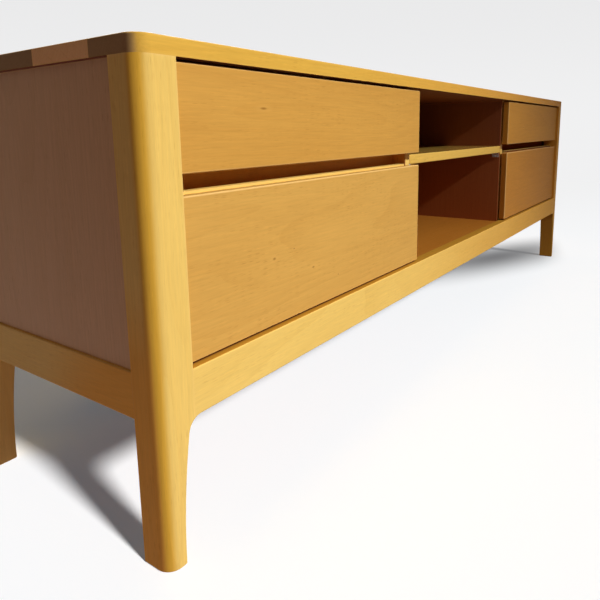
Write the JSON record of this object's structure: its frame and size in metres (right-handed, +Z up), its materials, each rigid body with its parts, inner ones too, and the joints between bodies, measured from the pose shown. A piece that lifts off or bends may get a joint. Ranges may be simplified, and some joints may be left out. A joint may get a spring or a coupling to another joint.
{
  "type": "tv stand",
  "caption": "Long low wooden stand with rounded legs, stacked drawers at both ends, finger gaps between their fronts and an open middle bay with a shelf.",
  "frame": {"origin": "on the floor, under the centre of the stand", "axes": "+X to the right along the front, +Y from front to back, +Z up; the drawers open towards -Y"},
  "size_m": [1.8, 0.4, 0.55],
  "materials": {
    "frame_wood": "satin lacquered golden beech",
    "front_wood": "satin lacquered beech, grain along the front",
    "panel_wood": "satin lacquered beech",
    "back_board": "thin veneered board",
    "box_wood": "clear lacquered pale wood",
    "box_bottom": "thin plywood",
    "runner_steel": "zinc plated",
    "fixing_steel": "zinc plated"
  },
  "bodies": {
    "cabinet": {"top_panel": "frame_wood", "leg_front_left": "frame_wood", "leg_front_right": "frame_wood", "leg_back_left": "frame_wood", "leg_back_right": "frame_wood", "front_rail": "frame_wood", "back_rail": "frame_wood", "side_rail_left": "frame_wood", "side_rail_right": "frame_wood", "centre_shelf": "frame_wood", "side_panel_left": "panel_wood", "side_panel_right": "panel_wood", "bottom_panel": "panel_wood", "divider_left": "panel_wood", "divider_right": "panel_wood", "left_runner_cleats": "panel_wood", "right_runner_cleats": "panel_wood", "drawer_rail_left": "panel_wood", "drawer_rail_right": "panel_wood", "rail_dowels": "panel_wood", "back_panel": "back_board", "shelf_supports": "fixing_steel", "top_brackets": "fixing_steel", "left_cabinet_runners": "runner_steel", "right_cabinet_runners": "runner_steel"},
    "upper_left_drawer": {"upper_left_front": "front_wood", "upper_left_inner_front": "box_wood", "upper_left_outer_side": "box_wood", "upper_left_inner_side": "box_wood", "upper_left_back": "box_wood", "upper_left_bottom": "box_bottom", "upper_left_front_screws": "fixing_steel", "upper_left_drawer_runners": "runner_steel"},
    "upper_left_middle_members": {"upper_left_middle_runners": "runner_steel"},
    "upper_right_drawer": {"upper_right_front": "front_wood", "upper_right_inner_front": "box_wood", "upper_right_outer_side": "box_wood", "upper_right_inner_side": "box_wood", "upper_right_back": "box_wood", "upper_right_bottom": "box_bottom", "upper_right_front_screws": "fixing_steel", "upper_right_drawer_runners": "runner_steel"},
    "upper_right_middle_members": {"upper_right_middle_runners": "runner_steel"},
    "lower_left_drawer": {"lower_left_front": "front_wood", "lower_left_inner_front": "box_wood", "lower_left_outer_side": "box_wood", "lower_left_inner_side": "box_wood", "lower_left_back": "box_wood", "lower_left_bottom": "box_bottom", "lower_left_front_screws": "fixing_steel", "lower_left_drawer_runners": "runner_steel"},
    "lower_left_middle_members": {"lower_left_middle_runners": "runner_steel"},
    "lower_right_drawer": {"lower_right_front": "front_wood", "lower_right_inner_front": "box_wood", "lower_right_outer_side": "box_wood", "lower_right_inner_side": "box_wood", "lower_right_back": "box_wood", "lower_right_bottom": "box_bottom", "lower_right_front_screws": "fixing_steel", "lower_right_drawer_runners": "runner_steel"},
    "lower_right_middle_members": {"lower_right_middle_runners": "runner_steel"}
  },
  "joints": [
    {"name": "upper_left_drawer_slide", "type": "slide", "parent": "cabinet", "child": "upper_left_drawer", "axis": [0, -1, 0], "range_m": [0, 0.3]},
    {"name": "upper_left_middle_slide", "type": "slide", "parent": "cabinet", "child": "upper_left_middle_members", "axis": [0, -1, 0], "range_m": [0, 0.15]},
    {"name": "upper_right_drawer_slide", "type": "slide", "parent": "cabinet", "child": "upper_right_drawer", "axis": [0, -1, 0], "range_m": [0, 0.3]},
    {"name": "upper_right_middle_slide", "type": "slide", "parent": "cabinet", "child": "upper_right_middle_members", "axis": [0, -1, 0], "range_m": [0, 0.15]},
    {"name": "lower_left_drawer_slide", "type": "slide", "parent": "cabinet", "child": "lower_left_drawer", "axis": [0, -1, 0], "range_m": [0, 0.3]},
    {"name": "lower_left_middle_slide", "type": "slide", "parent": "cabinet", "child": "lower_left_middle_members", "axis": [0, -1, 0], "range_m": [0, 0.15]},
    {"name": "lower_right_drawer_slide", "type": "slide", "parent": "cabinet", "child": "lower_right_drawer", "axis": [0, -1, 0], "range_m": [0, 0.3]},
    {"name": "lower_right_middle_slide", "type": "slide", "parent": "cabinet", "child": "lower_right_middle_members", "axis": [0, -1, 0], "range_m": [0, 0.15]}
  ],
  "couplings": [
    {"joint": "upper_left_middle_slide", "follows": "upper_left_drawer_slide", "ratio": 0.5},
    {"joint": "upper_right_middle_slide", "follows": "upper_right_drawer_slide", "ratio": 0.5},
    {"joint": "lower_left_middle_slide", "follows": "lower_left_drawer_slide", "ratio": 0.5},
    {"joint": "lower_right_middle_slide", "follows": "lower_right_drawer_slide", "ratio": 0.5}
  ]
}
